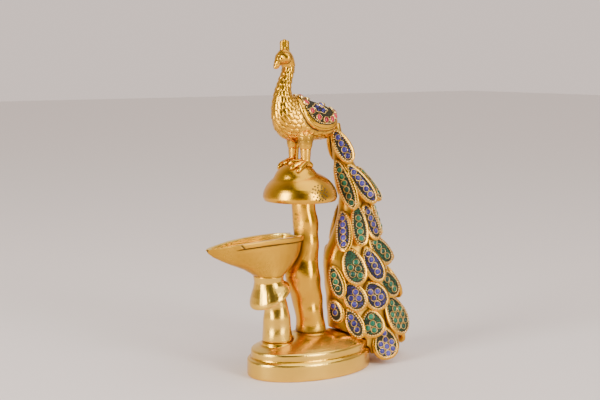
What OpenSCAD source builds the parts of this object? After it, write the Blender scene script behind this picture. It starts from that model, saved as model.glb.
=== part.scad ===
// Standing oil lamp in cast brass. A peacock perches on a large mushroom. A small mushroom in front
// of it carries a boat-shaped oil bowl, and a train of stone-set feathers hangs behind to the base.
// Millimetres. -X is the front (beak and spout), +X the back (train), +Z up, Z = 0 is the table.

/* [Base] */
// Length of the oval base
base_l = 118; // [114:1:128]
// Width of the oval base
base_w = 78; // [74:1:90]
// Height of the lower drum
drum_h = 15; // [13:0.5:20]
// How far the upper step stands in from the drum
step_in = 3.5; // [2.5:0.5:5]
// Height of the upper step's side
step_h = 8; // [6:0.5:11]
// Rise of the domed top
dome_rise = 10.5; // [9:0.5:13]
// Radius of the rounded edges
base_round = 2; // [1:0.25:2.5]

/* [Large mushroom] */
// Height of the stalk from the base to the cap's rim
stalk_h = 113; // [106:1:122]
// Radius of the stalk's foot
stalk_foot_r = 12.6; // [11.5:0.1:14]
// Radius of the stalk under the cap
stalk_top_r = 10.2; // [9:0.1:11]
// Radius of the cap's rim
cap_r = 31.5; // [29:0.5:34]
// Height of the cap's dome above its rim
cap_h = 26; // [23:0.5:29]
// Depth of the hollow under the cap
cap_hollow = 4; // [2:0.5:6]
// Radius of the round mound that the bird stands on
mound_r = 20; // [18:0.5:22]
// Height of the mound's top above the cap's rim
mound_h = 33.5; // [31:0.5:37]

/* [Small mushroom and oil bowl] */
// Radius of the small stalk's foot
small_foot_r = 12.8; // [11:0.1:13.5]
// Radius of the small stalk under its cap
small_top_r = 9.3; // [8:0.1:10.5]
// Height of the small cap's middle above the stalk's foot
small_h = 37; // [33:0.5:42]
// Radius of the small cap's rim
small_cap_r = 18.6; // [16:0.1:19.5]
// Tilt of the small cap, front side down
small_tilt = 28; // [20:1:32]
// Height of the neck between the small cap's underside and the bowl
neck_h = 20; // [18:0.5:24]
// Radius of the neck under the bowl
neck_r = 13; // [12:0.1:14]
// Height of the bowl from the neck to its rim
bowl_h = 32; // [29:0.5:36]
// Reach of the spout's tip in front of the lamp's middle
spout_x = 104; // [92:0.5:106]
// Half of the bowl's width
bowl_half_w = 14.5; // [13:0.1:16]
// Wall of the bowl
bowl_wall = 2.6; // [2:0.1:3.5]
// How far the rim dips towards the spout
spout_dip = 5; // [2:0.5:7]
// Height of the raised band round the rim
band_h = 5.5; // [4:0.5:7]
// How far the band stands proud
band_t = 1.6; // [1:0.1:2]

/* [Peacock] */
// Radius of a shank at the ankle
shank_r = 2.6; // [2:0.1:2.9]
// Radius of a toe
toe_r = 1.7; // [1.3:0.1:1.9]
// Half of the distance between the feet
foot_y = 8.5; // [7:0.5:10]
// Thickness of the saddle plate
saddle_t = 1.8; // [1.4:0.1:2.4]
// Thickness of the crest
crest_t = 2.6; // [2:0.1:3.4]
// Height of the crest above the head
crest_h = 7.5; // [6:0.5:10]

/* [Feathers and stones] */
// Most that a feather's casting is thick at its lifted tip
feather_t = 2.6; // [2.2:0.1:3.4]
// Thickness of a feather where it lies closest to the train
root_t = 1.4; // [1.2:0.1:2]
// How much wider an egg-shaped feather is at its tip than at its root
egg = 0.2; // [0.1:0.02:0.3]
// Width of the beaded wire border
wire_w = 1.1; // [0.8:0.1:1.4]
// Height of the beaded wire border
wire_h = 1.1; // [0.8:0.1:1.4]
// Margin of bare brass outside the wire
margin = 0.7; // [0.4:0.1:1]
// Diameter of a stone
stone_d = 4.8; // [4.4:0.1:5.2]
// Height of a stone
stone_h = 2.2; // [1.8:0.1:2.6]
// Wall of a bezel ring
ring_t = 0.5; // [0.4:0.05:0.6]
// Height of a bezel ring
ring_h = 1.4; // [1.2:0.1:1.7]
// Depth of the mastic round the stones
mastic_h = 0.7; // [0.5:0.1:0.9]

/* [Fixings] */
// Diameter of the threaded tie rods
rod_d = 6; // [5:0.5:6.5]
// Diameter of the train's screw
screw_d = 5; // [4:0.5:6]
// Play of a rod or a screw in a clearance hole
hole_play = 0.4; // [0.2:0.05:0.6]
// Play of a peg in its socket
peg_play = 0.1; // [0.05:0.05:0.2]
// Gap left for solder between fitted castings
solder_gap = 0.12; // [0.05:0.01:0.2]

/* [Hidden] */
$fn = 64;
sides = 32;

// Heights, each built on the one below it
step_z = drum_h + step_h;
base_top = step_z + dome_rise;
rim_z = base_top + stalk_h;
stalk_top_z = rim_z + cap_hollow;
perch_z = rim_z + mound_h;
stalk_rise = stalk_top_z - base_top;

// Plan of the base
base_a = base_l / 2;
step_a = base_a - step_in;
dome_a = step_a - base_round;
dome_R = (dome_a * dome_a + dome_rise * dome_rise) / (2 * dome_rise);
function dome_z(r) = base_top - dome_R + sqrt(dome_R * dome_R - r * r);

// Places along the lamp's middle line
stalk_x = 1.2;
stalk_lean = -7.7;
rod_x = -2.5;
cap_x = -10;
mound_x = -14;
small_x = 25.5 - base_a;
diya_rod_x = small_x - 4.5;
neck_x = small_x - 9;
train_seat_x = base_a - 21;
train_seat_r = 9;
small_seat_z = dome_z(-small_x) - 0.2;
small_mid_z = small_seat_z + small_h;
bowl_z = small_mid_z + neck_h;

// Fixings in round recesses under the base; boss_z is the recesses' roof
boss_z = drum_h + 3;
recess_d = 18;
nut_h = 5;
washer_t = 1.2;
rod_tail = 2;
rod_grip = 8;
screw_grip = 20;
peg_r = 1.8;
peg_l = 7;

// Small numbers shared by the lofts
function mix(a, b, t) = a + (b - a) * t;
function unit(v) = v / norm(v);
function clamp(v, lo, hi) = min(max(v, lo), hi);

// A smooth value between the rows of a table, where row k belongs to parameter k
function spline(t, p0, p1, p2, p3) =
    0.5 * (2 * p1 + (p2 - p0) * t + (2 * p0 - 5 * p1 + 4 * p2 - p3) * t * t
        + (3 * p1 - p0 - 3 * p2 + p3) * t * t * t);
function row(table, k) = table[clamp(k, 0, len(table) - 1)];
function along(table, s) =
    let (k = clamp(floor(s), 0, len(table) - 2))
    spline(s - k, row(table, k - 1), row(table, k), row(table, k + 1), row(table, k + 2));

// A closed solid through rings of equal count, each ring anticlockwise seen from the last one
module loft(rings) {
    n = len(rings[0]);
    m = len(rings);
    walls = [
        for (i = [0 : m - 2])
            for (j = [0 : n - 1])
                let (k = (j + 1) % n)
                    each [
                        [i * n + j, (i + 1) * n + j, (i + 1) * n + k],
                        [i * n + j, (i + 1) * n + k, i * n + k]
                    ]
    ];
    last = (m - 1) * n;
    start = [for (j = [1 : n - 2]) [0, j, j + 1]];
    end = [for (j = [1 : n - 2]) [last, last + j + 1, last + j]];
    polyhedron([for (r = rings) each r], concat(walls, start, end), convexity = 6);
}

// A flat ring about a point of the middle plane, tilted front side down
function disc_ring(x, z, r, tilt = 0, n = sides) = [
    for (j = [0 : n - 1])
        let (a = 360 * j / n)
            [x + r * cos(a) * cos(tilt), r * sin(a), z + r * cos(a) * sin(tilt)]
];

// Base

module oval() {
    scale([1, base_w / base_l, 1]) rotate_extrude() children();
}

function arc(cx, cz, r, a0, a1, n) = [
    for (k = [0 : n])
        let (a = mix(a0, a1, k / n))
            [cx + r * cos(a), cz + r * sin(a)]
];

dome_edge = asin(dome_a / dome_R);
function dome_arc(reach) = [
    for (k = [0 : 10])
        let (a = mix(dome_edge * reach, 0, k / 10))
            [dome_R * sin(a), base_top - dome_R * (1 - cos(a))]
];

// The base's outside, or a shape that stands off from it by a gap
module base_outer(gap = 0) {
    lip = base_round / 2;
    grow = (base_a + gap) / base_a;
    translate([0, 0, gap])
        scale(grow)
            oval() polygon(concat(
                [[0, -1], [base_a - lip, -1], [base_a - lip, 0]],
                arc(base_a - lip, lip, lip, -90, 0, 4),
                arc(base_a - base_round, drum_h - base_round, base_round, 0, 90, 5),
                [[step_a, drum_h]],
                arc(step_a - base_round, step_z - base_round, base_round, 0, 60, 4),
                dome_arc(0.995)
            ));
}

// Flat landing for a foot, filled up to its height
module landing(x, z, r) {
    translate([x, 0, boss_z]) cylinder(r = r, h = z - boss_z);
}

module hole(x, z0, z1, d) {
    translate([x, 0, z0]) cylinder(d = d, h = z1 - z0);
}

small_seat_r = small_foot_r + 0.8;
stalk_seat_r = stalk_foot_r + 1.6;

module base_plinth() {
    color("goldenrod")
        difference() {
            union() {
                base_outer();
                landing(stalk_x, base_top, stalk_seat_r);
                landing(small_x, small_seat_z, small_seat_r);
                landing(train_seat_x, dome_z(train_seat_x + train_seat_r), train_seat_r);
            }
            translate([0, 0, -5]) cube([2 * base_l, 2 * base_w, 10], center = true);
            translate([small_x, 0, small_seat_z]) cylinder(r = small_seat_r, h = base_top);
            hole(rod_x, 0, base_top + 1, rod_d + hole_play);
            hole(diya_rod_x, 0, base_top + 1, rod_d + hole_play);
            hole(train_seat_x, 0, base_top + 1, screw_d + hole_play);
            for (x = [rod_x, diya_rod_x, train_seat_x])
                hole(x, -1, boss_z, recess_d);
        }
}

// Large mushroom

// Share of the stalk's rise, offsets to the front and to the far side from a straight lean, and
// radius beyond a straight taper
stalk_form = [
    [0, 0, 0, 0.8],
    [0.09, 0.2, 0.4, 0.2],
    [0.22, -1.2, 1.2, 1],
    [0.32, -2.8, 2.4, 2.6],
    [0.41, -3.6, 3, 3.6],
    [0.48, -3, 2, 2.6],
    [0.54, -1.4, 0.8, 0.6],
    [0.67, 0.2, 0.2, 0.1],
    [0.78, 0.8, 0, 0.2],
    [0.9, 0.2, 0, -0.1],
    [1, 0, 0, 0]
];
function stalk_ring(s) =
    let (
        f = along(stalk_form, s),
        t = f[0],
        ring = disc_ring(
            stalk_x + stalk_lean * t + f[1],
            base_top + stalk_rise * t,
            mix(stalk_foot_r, stalk_top_r, t) + f[3]
        )
    )
    [for (p = ring) p + [0, f[2], 0]];

module mushroom_stalk() {
    color("goldenrod")
        difference() {
            loft([for (k = [0 : 2 * (len(stalk_form) - 1)]) stalk_ring(k / 2)]);
            hole(rod_x, base_top - 1, stalk_top_z + 1, rod_d + hole_play);
        }
}

cap_edge = 3;
module cap_dome() {
    lip = 4;
    translate([cap_x, 0, rim_z])
        rotate_extrude()
            polygon(concat(
                [[0, cap_hollow], [cap_r - lip, cap_hollow]],
                [[cap_r - lip + 1.5, 0], [cap_r - 1.5, 0]],
                [
                    for (a = [0 : 7.5 : 90])
                        [cap_r * cos(a), cap_edge + (cap_h - cap_edge) * sin(a)]
                ]
            ));
}

module mound(extra = 0) {
    translate([mound_x, 0, perch_z - mound_r]) sphere(r = mound_r + extra);
}

// Height of the mound's surface over a point
function mound_z(x, y) = perch_z - mound_r + sqrt(pow(mound_r, 2) - pow(x - mound_x, 2) - y * y);

foot_x = -10.5;
module mushroom_cap() {
    color("goldenrod")
        difference() {
            union() {
                cap_dome();
                intersection() {
                    mound();
                    translate([mound_x, 0, rim_z + cap_hollow + 1])
                        cylinder(r = 2 * mound_r, h = 2 * mound_r);
                }
            }
            hole(rod_x, rim_z, stalk_top_z + rod_grip + 0.5, rod_d + 2 * peg_play);
            for (side = [-1, 1])
                translate([foot_x, side * foot_y, mound_z(foot_x, foot_y) - peg_l])
                    cylinder(r = peg_r + peg_play, h = 2 * peg_l);
        }
}

// Small mushroom

function tilt_z(x) = small_mid_z + (x - (neck_x + 2)) * tan(small_tilt);

// A ring of the small mushroom at a share of a height
function small_ring(x, share, rise, r, tilt) = disc_ring(x, rise[0] + share * rise[1], r, tilt);

module small_stalk() {
    top_x = neck_x + 5.5;
    rise = [small_seat_z, small_h];
    neck_mid = mix(small_foot_r, small_top_r, 0.75);
    color("goldenrod")
        difference() {
            loft([
                small_ring(small_x, 0, rise, small_foot_r, 0),
                small_ring(small_x - 0.2, 0.22, rise, small_foot_r - 0.5, 1),
                small_ring(small_x - 0.8, 0.55, rise, small_foot_r - 1.4, 5),
                small_ring(small_x - 1.8, 0.78, rise, neck_mid, small_tilt / 2),
                disc_ring(top_x, tilt_z(top_x), small_top_r, small_tilt)
            ]);
            hole(diya_rod_x, small_seat_z - 1, bowl_z, rod_d + hole_play);
        }
}

module small_cap() {
    mid_x = neck_x + 2;
    rise = [small_mid_z, neck_h];
    color("goldenrod")
        difference() {
            loft([
                small_ring(mid_x, 0, rise, small_cap_r - 1.4, small_tilt),
                small_ring(mid_x - 0.3, 0.03, rise, small_cap_r - 0.4, small_tilt),
                small_ring(mid_x - 0.6, 0.09, rise, small_cap_r, small_tilt),
                small_ring(mid_x - 0.9, 0.22, rise, small_cap_r - 0.5, small_tilt * 0.94),
                small_ring(mid_x - 1.2, 0.4, rise, mix(neck_r, small_cap_r, 0.55), small_tilt * 0.75),
                small_ring(mid_x - 1.5, 0.58, rise, mix(neck_r, small_cap_r, 0.1), small_tilt * 0.45),
                small_ring(mid_x - 1.8, 0.76, rise, neck_r - 0.7, small_tilt * 0.2),
                small_ring(neck_x, 1, rise, neck_r, 0)
            ]);
            hole(diya_rod_x, small_seat_z, bowl_z + 1, rod_d + hole_play);
        }
}

// Oil bowl

bowl_mid_x = -32;
bowl_rear_x = -9.5;
bowl_sides = 48;
// Share of the height, how far the front and the rear have opened from the neck to the rim, and
// the same for the width
bowl_form = [
    [0, 0, 0, 0],
    [0.25, 0.28, 0.5, 0.42],
    [0.5, 0.61, 0.8, 0.72],
    [0.78, 0.89, 0.95, 0.93],
    [1, 1, 1, 1]
];

function bowl_ring(s, inset) =
    let (
        f = along(bowl_form, s),
        mid = mix(neck_x, bowl_mid_x, f[2]),
        front = mix(neck_r, spout_x + bowl_mid_x, f[1]) - max(inset, 0) * (1 + 1.2 * f[1]),
        rear = mix(neck_r, bowl_rear_x - bowl_mid_x, f[2]) - inset,
        half = mix(neck_r, bowl_half_w, f[3]) - inset,
        point = 1 + 0.3 * f[1],
        z = bowl_z + bowl_h * f[0]
    )
    [
        for (j = [0 : bowl_sides - 1])
            let (
                a = 360 * j / bowl_sides,
                reach = cos(a) > 0 ? rear : front,
                x = mid + reach * cos(a),
                y = half * sign(sin(a)) * pow(abs(sin(a)), cos(a) > 0 ? 1 : point),
                band = inset < 0 && x < band_x ? inset : 0,
                dip = spout_dip * f[0] * pow(clamp(-cos(a), 0, 1), 2)
            )
                [x, band == 0 ? y : y * (half + band) / half, z - dip]
    ];

band_x = -77;
band_s = (len(bowl_form) - 1) * (1 - 0.9 * band_h / bowl_h);
rim_s = len(bowl_form) - 1;
cavity_s = 1.3;
notch_x = -4.2;
notch_r = 13;
cavity_back = notch_x - notch_r - bowl_wall;

// Rings of the oil well, kept in front of the wall that leans on the stalk
function well_ring(s) = [for (p = bowl_ring(s, bowl_wall)) [min(p[0], cavity_back), p[1], p[2]]];

module diya_bowl() {
    color("gold")
        difference() {
            loft(concat(
                [for (k = [0 : 7]) bowl_ring(k / 7 * (band_s - 0.05), 0)],
                [bowl_ring(band_s, -band_t), bowl_ring(rim_s, -band_t)],
                [for (k = [0 : 6]) well_ring(mix(rim_s, cavity_s, k / 6))]
            ));
            translate([notch_x, 0, bowl_z - 1]) cylinder(r = notch_r, h = bowl_h + 10);
            hole(diya_rod_x, bowl_z - 1, bowl_z + rod_grip - 2, rod_d + 2 * peg_play);
        }
}

// Peacock

// Sections of the bird from the rump to the beak: back point, belly point and half width, with
// heights measured from the perch
bird_form = [
    [22.5, 35.5, 22.5, 27.5, 5],
    [20.5, 39.5, 20, 21, 9.5],
    [15, 43, 15, 17.5, 12.5],
    [6, 46, 6, 17, 13.5],
    [-4, 49, -5, 15.5, 13.5],
    [-12, 51.5, -17, 16.5, 13],
    [-16, 53, -27, 20, 12],
    [-18.5, 54.5, -33.5, 26.5, 10.8],
    [-20, 56, -36.5, 35, 9.6],
    [-21, 58.5, -37, 44, 8.5],
    [-21, 62, -35.5, 53.5, 7.3],
    [-20, 67, -32.5, 63, 6.3],
    [-18, 73, -28.8, 71.5, 5.5],
    [-16.8, 79, -26.8, 77, 5.2],
    [-17.2, 84, -27.2, 78.6, 5.8],
    [-19.5, 89, -28, 79.6, 6.2],
    [-23.5, 92.5, -29, 80.2, 6],
    [-28, 93, -30, 80.5, 5.2],
    [-31.6, 90.3, -30, 80.8, 4.6],
    [-33.7, 86.5, -30.9, 79.8, 3.7],
    [-35.3, 82.5, -31.8, 78.4, 2.9],
    [-36.4, 79, -33, 76.9, 2],
    [-36.2, 77.6, -34.2, 76.6, 1]
];
head_from = 15;
// Round cheeks: how far they stand out, the section of their middle, and how many they reach over
cheek_rise = 2.4;
cheek_mid = 16.2;
cheek_reach = 1.3;
function cheek(s, a) =
    cheek_rise * exp(-pow((s - cheek_mid) / cheek_reach, 2)) * pow(abs(sin(a)), 3);
bird_sides = 20;

// Point of the bird's skin at section s, angle a round from the back, moved out by off
function skin(s, a, off = 0) =
    let (
        f = along(bird_form, s),
        back = [f[0], 0, f[1]],
        belly = [f[2], 0, f[3]],
        mid = (back + belly) / 2,
        arm = (back - belly) / 2
    )
    mid + [0, 0, perch_z]
        + arm * (1 + off / norm(arm)) * cos(a)
        + [0, 1, 0] * (f[4] + off + cheek(s, a)) * sin(a);

thigh_z = perch_z + 11;
thigh_r = 3.6;
thigh_h = 12;
thigh_flare = 3.2;
crest_x = -25.5;
crest_seat_z = perch_z + 87.5;
crest_z = perch_z + 93.3;
crest_stem_r = 1.5;

// The bird's skin from one section to the beak, or a shape that stands off from it
module bird_loft(from, off = 0) {
    loft([
        for (k = [2 * from : 2 * (len(bird_form) - 1)])
            [for (j = [0 : bird_sides - 1]) skin(k / 2, 360 * j / bird_sides, off)]
    ]);
}

module peacock_body() {
    color("goldenrod")
        difference() {
            union() {
                bird_loft(0);
                for (side = [-1, 1])
                    translate([foot_x, side * foot_y, thigh_z])
                        cylinder(r1 = thigh_r, r2 = thigh_r + thigh_flare, h = thigh_h);
            }
            for (side = [-1, 1])
                translate([foot_x, side * foot_y, thigh_z - 1])
                    cylinder(r = peg_r + peg_play, h = peg_l + 1);
            translate([crest_x, 0, crest_seat_z]) cylinder(r = crest_stem_r + peg_play, h = 12);
        }
}

// Plumes of the crest: place along the head, lean, and share of the crest's height
plumes = [[-2.7, 6, 0.86], [0, 0, 1], [2.7, -8, 0.9]];

// Three rounded plumes side by side, seated on the head, with a peg into it
module crest() {
    plume_r = crest_h * 0.25;
    root = 3;
    color("gold") {
        difference() {
            translate([0, crest_t / 2, 0])
                rotate([90, 0, 0])
                    linear_extrude(crest_t)
                        translate([crest_x, crest_z - root])
                            for (p = plumes)
                                translate([p[0], 0])
                                    rotate(p[1]) {
                                        top = root + crest_h * p[2] - plume_r;
                                        translate([-plume_r * 0.8, 0]) square([plume_r * 1.6, top]);
                                        translate([0, top]) circle(r = plume_r);
                                    }
            bird_loft(head_from, solder_gap);
        }
        translate([crest_x, 0, crest_seat_z]) cylinder(r = crest_stem_r, h = crest_z - crest_seat_z + 1);
    }
}

// A shank with three toes that follow the round mound forward, and one behind
module leg(side) {
    foot_z = mound_z(foot_x, foot_y);
    color("goldenrod") {
        difference() {
            translate([foot_x, side * foot_y, foot_z - 2])
                cylinder(r1 = shank_r, r2 = thigh_r, h = thigh_z - foot_z + 2);
            mound(solder_gap);
        }
        for (k = [0 : len(toe_turns) - 1])
            toe(side, toe_turns[k], toe_arcs[k]);
        translate([foot_x, side * foot_y, foot_z - peg_l + 0.5])
            cylinder(r = peg_r, h = peg_l + 2);
        translate([foot_x, side * foot_y, thigh_z - 1]) cylinder(r = peg_r, h = peg_l);
    }
}

// Toes: compass direction of each, and the arc of the mound that it covers
toe_turns = [150, 180, 210, 340];
toe_arcs = [40, 44, 40, 16];
toe_sides = 8;
toe_rings = 7;

// A tapering toe bent over the mound from the ankle
module toe(side, turn, reach) {
    centre = [mound_x, 0, perch_z - mound_r];
    up = unit([foot_x, side * foot_y, mound_z(foot_x, foot_y)] - centre);
    flat = [cos(turn), sin(turn) + side * 0.12, 0];
    go = unit(flat - up * (flat * up));
    across = cross(up, go);
    loft([
        for (k = [0 : toe_rings - 1])
            let (
                t = k / (toe_rings - 1),
                a = mix(-2, reach, t),
                r = toe_r * (1.1 - 0.45 * t) * (k == toe_rings - 1 ? 0.6 : 1),
                out = up * cos(a) + go * sin(a)
            )
                [
                    for (j = [0 : toe_sides - 1])
                        let (b = 360 * (j + 0.5) / toe_sides)
                            centre + out * (mound_r + solder_gap + r * (0.93 + sin(b))) + across * r * cos(b)
                ]
    ]);
}

module left_leg() {
    leg(1);
}

module right_leg() {
    leg(-1);
}

// Saddle: a round-ended patch of the bird's back, described by a radius and an angle
saddle_mid = 3.1;
saddle_len = 2.75;
saddle_drop = 108;
saddle_steps = 8;
function saddle_point(radius, turn, off) =
    skin(saddle_mid + saddle_len * radius * cos(turn), saddle_drop * radius * sin(turn), off);

module saddle_patch(steps, low, high) {
    spokes = 32;
    under = [
        for (k = [1 : steps])
            [for (j = [0 : spokes - 1]) saddle_point(k / saddle_steps, -360 * j / spokes, low)]
    ];
    over = [
        for (k = [steps : -1 : 1])
            [for (j = [0 : spokes - 1]) saddle_point(k / saddle_steps, -360 * j / spokes, high)]
    ];
    loft(concat(under, over));
}

module saddle_plate() {
    color("gold") saddle_patch(saddle_steps, 3 * solder_gap, saddle_t);
}

// Train

// Share of the train's height, middle, half depth and half width
train_form = [
    [0, 59, 36, 22],
    [0.13, 55, 34, 20],
    [0.29, 49.5, 32, 18.5],
    [0.37, 47, 27.5, 17],
    [0.48, 46.8, 17, 14],
    [0.65, 48, 13.8, 11],
    [0.82, 34.5, 8.2, 7.5],
    [0.91, 29, 5.2, 6],
    [1, 27, 3.6, 5]
];
// Share of the height at which the train ends, behind the rump
train_end = 0.983;
train_top = perch_z + 34;
train_h = train_top - base_top;

function train_param(t, k = 0) =
    k >= len(train_form) - 2 || t < train_form[k + 1][0]
        ? k + (t - train_form[k][0]) / (train_form[k + 1][0] - train_form[k][0])
        : train_param(t, k + 1);
// Middle, half depth and half width of the train at height z
function train_at(z) =
    let (t = (z - base_top) / train_h)
    t <= 0
        ? [train_form[0][1] - 14 * t, train_form[0][2] - 5 * t, train_form[0][3] - 5 * t]
        : let (f = along(train_form, train_param(min(t, 1)))) [f[1], f[2], f[3]];
function train_point(z, turn) =
    let (s = train_at(z))
    [s[0] + s[1] * cos(turn), -s[2] * sin(turn), z];
// Negative inside the train, positive outside
function train_side(p) =
    let (s = train_at(p[2]))
    pow((p[0] - s[0]) / s[1], 2) + pow(p[1] / s[2], 2) - 1;

// Height of the train's lowest edge, behind the base
skirt_z = 9;
function train_height(k) =
    base_top + train_h * min(
        train_end, mix(row(train_form, floor(k / 2))[0], row(train_form, ceil(k / 2))[0], 0.5)
    );
train_heights = concat(
    [skirt_z, mix(skirt_z, base_top, 0.5)],
    [for (k = [0 : 2 * (len(train_form) - 1)]) train_height(k)]
);

module train_core() {
    color("goldenrod")
        difference() {
            loft([
                for (z = train_heights)
                    [for (j = [0 : sides - 1]) train_point(z, -360 * j / sides)]
            ]);
            base_outer(3 * solder_gap);
            hole(train_seat_x, base_top - 20, base_top + screw_grip, screw_d + 2 * peg_play);
        }
}

// Feathers

// One row for each feather: share of the train's height, angle round from the spine (negative on the
// far flank), length, width, lean, stones, and whether the other flank has its twin
feathers = [
    [0.873, 100, 31, 13.5, 8, "blue", false],
    [0.873, -80, 30, 13, -6, "blue", false],
    [0.69, 138, 45, 13.8, 9, "green", false],
    [0.69, 88, 41, 14, 11, "blue", true],
    [0.68, 38, 38, 15, 8, "green", true],
    [0.457, 141, 37, 14.2, 16, "blue", false],
    [0.487, 104.6, 36, 13.8, 5, "green", false],
    [0.502, 66.5, 33, 13.4, 12, "blue", true],
    [0.512, 28, 33, 14, 10, "green", true],
    [0.23, 149, 28.5, 13, 12, "green", false],
    [0.3, 116, 32, 18.8, 8, "green", false],
    [0.302, 82.5, 33, 16.6, 10, "blue", true],
    [0.362, 55, 31, 17.5, 20, "green", true],
    [0.352, 0, 34, 20.5, 0, "blue", false],
    [0.157, 122.5, 26.5, 18.6, 16, "blue", false],
    [0.152, 88.5, 27, 20.5, 16, "blue", true],
    [0.2, 56, 29.5, 17.6, 22, "green", true],
    [0.172, 0, 34, 22, 0, "blue", false],
    [0.085, 158.5, 20, 13.6, 18, "blue", false],
    [0.016, 102, 23.5, 20.4, 0, "green", true],
    [0.035, 55, 37, 22, 10, "green", true],
    [0.03, 0, 27, 22, 0, "green", false],
    [0.026, 128.5, 27, 14, 18, "blue", false],
    [-0.09, 84, 27.5, 22.5, -2, "blue", true],
    [-0.085, 0, 20, 18, 0, "blue", false],
    [0.487, -110, 34, 13.6, -5, "green", false],
    [0.3, -116, 31, 18, -8, "green", false]
];
// Lift of a feather's tip on the near flank and of one that only the far flank has, and roll that
// raises the edge towards the back over its neighbour
lift = 13;
far_lift = 5;
roll = 20;
feather_sides = 16;
// Rings of a feather's underside, as shares of its width in from the edge
under_insets = [0.46, 0.23, 0];

function half_at(x, l, w) = w / 2 * sqrt(max(0, 1 - pow(2 * x / l, 2))) * (1 + egg * 2 * x / l);
function egg_outline(l, w, inset) = [
    for (j = [0 : feather_sides - 1])
        let (
            a = 360 * j / feather_sides,
            x = l / 2 * cos(a),
            y = w / 2 * sin(a) * (1 + egg * cos(a)),
            grow = 1 - 2 * inset / l,
            narrow = 1 - 2 * inset / w
        )
            [x * grow, y * narrow]
];

// Height of the train's skin above a point of a feather's plane, found by halving
function skin_height(p, n, lo = -16, hi = 16, k = 13) =
    let (m = (lo + hi) / 2)
    k == 0 ? hi
    : train_side(p + n * m) > 0 ? skin_height(p, n, lo, m, k - 1)
    : skin_height(p, n, m, hi, k - 1);

// Frame of a feather: middle of its top plane, its length, width and outward directions, and how
// far the train's skin lies under each point of its outline
function feather_frame(f) =
    let (
        z = base_top + train_h * f[0],
        l = f[2],
        w = f[3],
        p = train_point(z, f[1]),
        rise = unit(train_point(z + l / 3, f[1]) - train_point(z - l / 3, f[1])),
        turn = unit(train_point(z, f[1] - 4) - train_point(z, f[1] + 4)),
        n0 = unit(cross(turn, rise)),
        n = n0 * p_sign(n0, p),
        down = unit(-rise - n * (-rise * n)),
        across = cross(n, down),
        ex0 = down * cos(f[4]) + across * sin(f[4]),
        up = f[1] < 0 ? far_lift : lift,
        ex = ex0 * cos(up) + n * sin(up),
        ey0 = cross(n, ex0),
        turn_up = roll * ey0[0],
        ey = ey0 * cos(turn_up) + cross(ex, ey0) * sin(turn_up),
        ez = cross(ex, ey),
        skins = [
            for (inset = under_insets)
                [for (q = egg_outline(l, w, inset * w)) skin_height(p + ex * q[0] + ey * q[1], ez)]
        ],
        top = max([for (ring = skins) max(ring)]) + root_t
    )
    [p + ez * top, ex, ey, ez, [for (ring = skins) [for (h = ring) h - top]]];
function p_sign(n, p) = train_side(p + n) > 0 ? 1 : -1;

module in_frame(fr) {
    o = fr[0];
    multmatrix([
        [fr[1][0], fr[2][0], fr[3][0], o[0]],
        [fr[1][1], fr[2][1], fr[3][1], o[1]],
        [fr[1][2], fr[2][2], fr[3][2], o[2]],
        [0, 0, 0, 1]
    ])
        children();
}

// Draws what belongs to one feather, and to its twin if the far flank has one
module both_flanks(f, fr) {
    in_frame(fr) children();
    if (f[6])
        mirror([0, 1, 0]) in_frame(fr) children();
}

// A ring of a feather's underside, on the train's skin where it can reach it
function under_ring(outline, depths) = [
    for (j = [0 : feather_sides - 1])
        [outline[j][0], outline[j][1], max(depths[j] + 3 * solder_gap, -feather_t)]
];

module feather(k) {
    f = feathers[k];
    fr = feather_frame(f);
    chamfer = 0.5;
    under = [
        for (i = [0 : len(under_insets) - 1])
            under_ring(egg_outline(f[2], f[3], under_insets[i] * f[3]), fr[4][i])
    ];
    shoulder = [for (q = egg_outline(f[2], f[3], 0)) [q[0], q[1], -chamfer]];
    top = [for (q = egg_outline(f[2], f[3], chamfer)) [q[0], q[1], 0]];
    color("gold") both_flanks(f, fr) loft(concat(under, [shoulder, top]));
}

wire_out = margin;
wire_in = margin + wire_w;
ring_r = stone_d / 2 + ring_t;
pitch = 2 * ring_r + 0.15;
bezel_gap = 0.36;

// Layouts of stones across a feather: each column has its side and its shift along the length
layouts = [
    [[0, 0]],
    [[-pitch / 2, 0], [pitch / 2, 0.5]],
    [[0, 0], [-0.87 * pitch, 0.5], [0.87 * pitch, 0.5]]
];
function places_from(layout, l, w, shift) = [
    for (c = layout)
        for (k = [-8 : 8])
            let (q = [(k + c[1] + shift) * pitch, c[0]])
                if (fits_inside(q, l - 2 * wire_in, w - 2 * wire_in))
                    q
];
// Of the layouts, each tried at a few shifts, the one that sets the most stones
function stone_places(l, w) =
    let (
        tries = [
            for (layout = layouts)
                for (shift = [0 : 0.125 : 0.875])
                    places_from(layout, l, w, shift)
        ],
        most = max([for (t = tries) len(t)])
    )
    [for (t = tries) if (len(t) == most) t][0];
// True where a whole bezel fits inside an egg-shaped outline
function fits_inside(q, l, w) =
    min([
        for (a = [0 : 22.5 : 350])
            let (x = q[0] + ring_r * cos(a), y = q[1] + ring_r * sin(a))
                half_at(x, l, w) - abs(y)
    ]) > bezel_gap;

module mastic_bed(l, w) {
    difference() {
        linear_extrude(mastic_h) polygon(egg_outline(l, w, wire_in));
        for (q = stone_places(l, w))
            translate([q[0], q[1], -1]) cylinder(r = ring_r, h = 3);
    }
}

module wire_loop(l, w) {
    linear_extrude(wire_h)
        difference() {
            polygon(egg_outline(l, w, wire_out));
            polygon(egg_outline(l, w, wire_in));
        }
}

module bezel() {
    rotate_extrude() translate([stone_d / 2, 0]) square([ring_t, ring_h]);
}

// Domed stone on a flat back
module stone() {
    r = stone_d / 2 - 0.03;
    girdle = ring_h * 0.6;
    crown = stone_h - girdle;
    rotate_extrude()
        polygon([
            [0, 0], [r, 0], [r, girdle],
            [0.85 * r, girdle + 0.6 * crown], [0.45 * r, stone_h], [0, stone_h]
        ]);
}

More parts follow.
